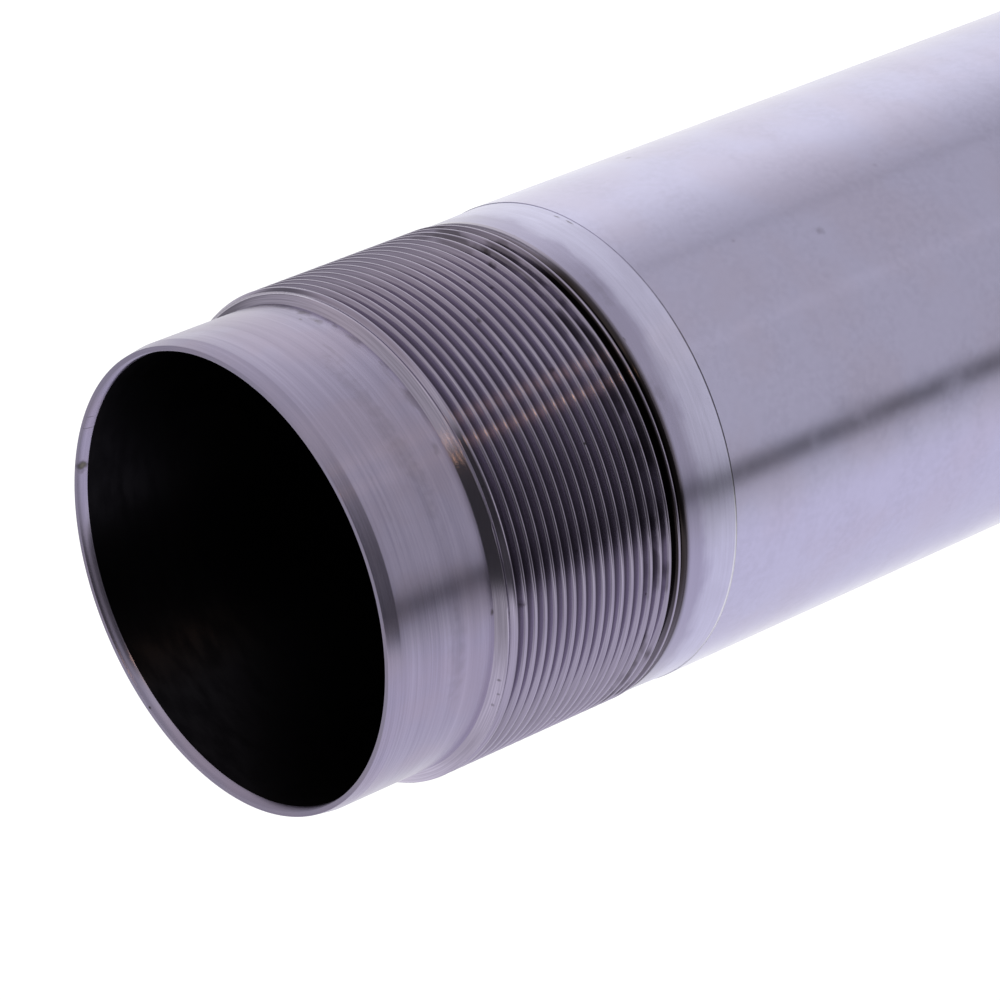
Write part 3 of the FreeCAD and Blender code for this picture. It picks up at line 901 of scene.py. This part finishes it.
def add_floor():
    """A matt pale floor. A little glow for the camera brings it to the white of the surroundings."""
    data = bpy.data.meshes.new("pale_floor")
    corners = [(-1, -1, 0), (1, -1, 0), (1, 1, 0), (-1, 1, 0)]
    data.from_pydata([(x * FLOOR_REACH, y * FLOOR_REACH, z) for x, y, z in corners], [], [(0, 1, 2, 3)])
    material, tree = new_material("pale_floor")
    matt = add_node(tree, "ShaderNodeBsdfDiffuse", inputs={"Color": linear("#F4F4F4")})
    lift = add_node(tree, "ShaderNodeMath", PRODUCT, [seen_or_mirrored(tree), FLOOR_GLOW])
    glow = add_node(tree, "ShaderNodeEmission", inputs={"Strength": lift})
    both = add_node(tree, "ShaderNodeAddShader", inputs=[matt, glow])
    add_node(tree, "ShaderNodeOutputMaterial", inputs=[both])
    data.materials.append(material)
    floor = bpy.data.objects.new("pale_floor", data)
    bpy.context.scene.collection.objects.link(floor)


# Light of the surroundings on matt surfaces
SURROUNDING_LIGHT = 0.6


def add_world(stage):
    world = bpy.data.worlds.new("white_surroundings")
    world.use_nodes = True
    tree = world.node_tree
    tree.nodes.clear()
    level = add_node(tree, "ShaderNodeMapRange", inputs={
        "Value": seen_or_mirrored(tree), "To Min": SURROUNDING_LIGHT, "To Max": stage.white})
    background = add_node(tree, "ShaderNodeBackground", inputs={"Color": (1, 1, 1, 1), "Strength": level})
    add_node(tree, "ShaderNodeOutputWorld", inputs=[background])
    bpy.context.scene.world = world


# Soft lamps for matt surfaces: where each stands, in metres from the tube's foot, and its power in watts
SOFT_LAMPS = {"soft_lamp_left": ((-1.2, -1.4, 2.0), 18), "soft_lamp_right": ((1.4, 1.0, 2.2), 10)}
SOFT_LAMP_SIZE = 1.2


def add_lamp(name, place, power):
    lamp = bpy.data.lights.new(name, "AREA")
    lamp.shape = "SQUARE"
    lamp.size = SOFT_LAMP_SIZE
    lamp.energy = power
    holder = bpy.data.objects.new(name, lamp)
    holder.location = place
    holder.rotation_euler = (-holder.location).to_track_quat("-Z", "Y").to_euler()
    holder.visible_glossy = False
    bpy.context.scene.collection.objects.link(holder)


class FORKTUBE_OT_set_stage(bpy.types.Operator):
    """Sets the camera, the pale floor, the cloth tent and the soft lamps"""

    bl_idname = "forktube.set_stage"
    bl_label = "Set the stage"

    def execute(self, context):
        stage = context.scene.fork_tube_stage
        lens = bpy.data.cameras.new("camera")
        lens.lens = stage.lens
        lens.sensor_width = 36
        lens.clip_start = 0.01
        lens.clip_end = 50
        camera = bpy.data.objects.new("camera", lens)
        camera.location = stage.camera_place
        camera.rotation_euler = stage.camera_turn
        context.scene.collection.objects.link(camera)
        context.scene.camera = camera
        add_world(stage)
        add_floor()
        add_tent(stage)
        add_warm_lamps(stage)
        for name, (place, power) in SOFT_LAMPS.items():
            add_lamp(name, place, power)
        context.scene.view_settings.view_transform = "Standard"
        return {"FINISHED"}


class FORKTUBE_PT_panel(bpy.types.Panel):
    """Lists the operators in the sidebar"""

    bl_idname = "FORKTUBE_PT_panel"
    bl_label = "Fork tube"
    bl_space_type = "VIEW_3D"
    bl_region_type = "UI"
    bl_category = "Fork tube"

    def draw(self, context):
        for operator in OPERATORS:
            self.layout.operator(operator.bl_idname)


SETTINGS = {"fork_tube_sizes": TubeSizes, "fork_tube_finish": TubeFinish, "fork_tube_stage": StageSettings}
OPERATORS = (FORKTUBE_OT_turn_tube, FORKTUBE_OT_set_stage)
CLASSES = (*SETTINGS.values(), *OPERATORS, FORKTUBE_PT_panel)


def register():
    for item in CLASSES:
        bpy.utils.register_class(item)
    for name, group in SETTINGS.items():
        setattr(bpy.types.Scene, name, bpy.props.PointerProperty(type=group))


def unregister():
    for name in SETTINGS:
        delattr(bpy.types.Scene, name)
    for item in reversed(CLASSES):
        bpy.utils.unregister_class(item)


def main():
    register()
    bpy.ops.forktube.turn_tube()
    bpy.ops.forktube.set_stage()


if __name__ == "__main__":
    main()
